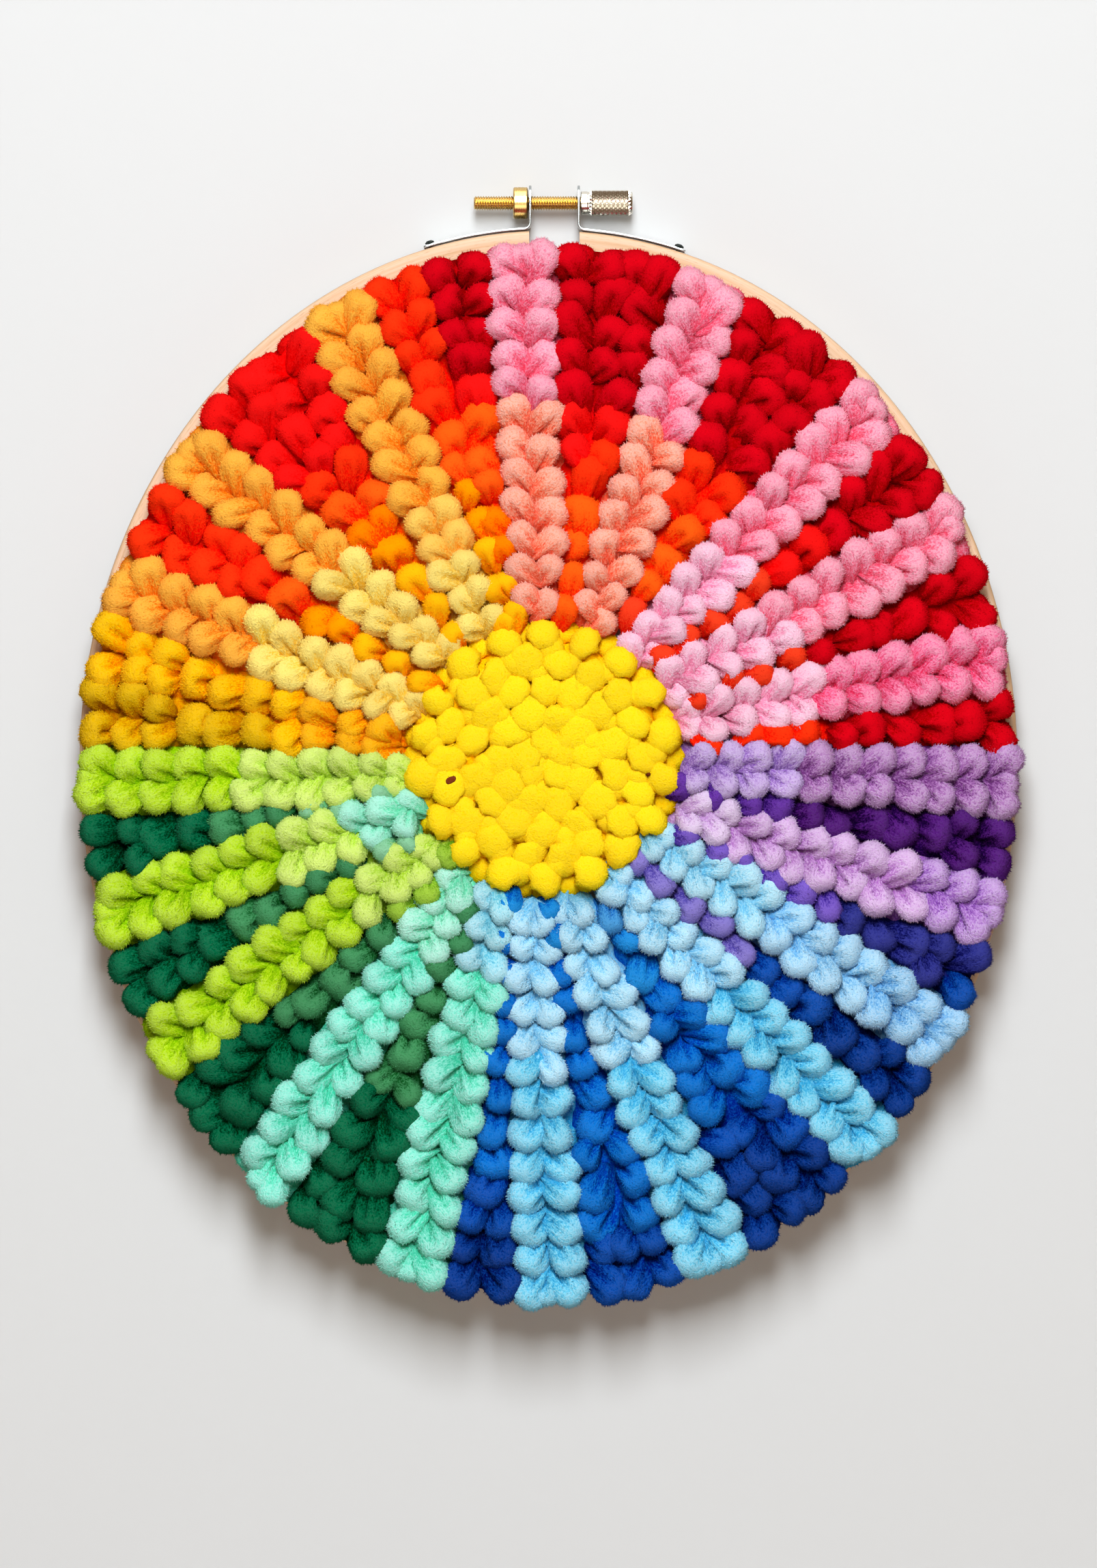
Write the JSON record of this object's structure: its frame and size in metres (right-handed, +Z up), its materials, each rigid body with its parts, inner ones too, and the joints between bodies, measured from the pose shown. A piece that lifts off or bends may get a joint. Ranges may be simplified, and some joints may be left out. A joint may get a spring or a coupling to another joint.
{
  "type": "punch needle wall piece in an oval embroidery hoop",
  "caption": "Oval wooden embroidery hoop gripping cloth punched with plush yarn loops in a rainbow sunburst; a nail under the clamp screw carries it.",
  "frame": {"origin": "the hanging point: the underside of the clamp screw midway between its ears, on the wall plane at the hoop's back", "axes": "+Z up along the oval's long axis, +X to the viewer's right along the clamp screw, +Y back into the wall; the pile faces -Y"},
  "size_m": [0.2552, 0.026, 0.304],
  "materials": {
    "pale_beech": "sanded, unvarnished",
    "off_white_cloth": "even cotton weave",
    "zinc_plated_steel": "bright zinc plating",
    "darkened_steel": "dark, dull",
    "turned_brass": "turned, bright",
    "nickel_plated_brass": "knurled nickel plating",
    "yellow_yarn": "plush chenille pile",
    "pink_yarn": "plush chenille pile",
    "rose_yarn": "plush chenille pile",
    "lilac_yarn": "plush chenille pile",
    "orchid_yarn": "plush chenille pile",
    "periwinkle_yarn": "plush chenille pile",
    "sky_yarn": "plush chenille pile",
    "mint_yarn": "plush chenille pile",
    "lime_yarn": "plush chenille pile",
    "apricot_yarn": "plush chenille pile",
    "crimson_yarn": "plush chenille pile",
    "vermilion_yarn": "plush chenille pile",
    "purple_yarn": "plush chenille pile",
    "indigo_yarn": "plush chenille pile",
    "navy_yarn": "plush chenille pile",
    "dark_green_yarn": "plush chenille pile",
    "mustard_yarn": "plush chenille pile",
    "gold_yarn": "plush chenille pile"
  },
  "bodies": {
    "root": {"outer_hoop": "pale_beech", "inner_hoop": "pale_beech", "backing_cloth": "off_white_cloth", "left_strip": "zinc_plated_steel", "right_strip": "zinc_plated_steel", "left_brad": "darkened_steel", "right_brad": "darkened_steel", "clamp_screw": "turned_brass", "brass_nut": "turned_brass", "knurled_head": "nickel_plated_brass", "sun": "yellow_yarn", "ray_01": "pink_yarn", "ray_02": "pink_yarn", "ray_03": "pink_yarn", "ray_04": "pink_yarn", "ray_05": "rose_yarn", "ray_06": "lilac_yarn", "ray_07": "orchid_yarn", "ray_08": "periwinkle_yarn", "ray_09": "sky_yarn", "ray_10": "sky_yarn", "ray_11": "sky_yarn", "ray_12": "mint_yarn", "ray_13": "mint_yarn", "ray_14": "lime_yarn", "ray_15": "lime_yarn", "ray_16": "lime_yarn", "ray_17": "apricot_yarn", "ray_18": "apricot_yarn", "ray_19": "apricot_yarn", "ground_01": "crimson_yarn", "ground_02": "crimson_yarn", "ground_03": "crimson_yarn", "ground_04": "crimson_yarn", "ground_05": "crimson_yarn", "ground_06": "purple_yarn", "ground_07": "indigo_yarn", "ground_08": "navy_yarn", "ground_09": "navy_yarn", "ground_10": "navy_yarn", "ground_11": "navy_yarn", "ground_12": "dark_green_yarn", "ground_13": "dark_green_yarn", "ground_14": "dark_green_yarn", "ground_15": "dark_green_yarn", "ground_16": "mustard_yarn", "ground_17": "gold_yarn", "ground_18": "vermilion_yarn", "ground_19": "vermilion_yarn", "ground_20": "vermilion_yarn", "ground_21": "crimson_yarn"}
  },
  "joints": []
}
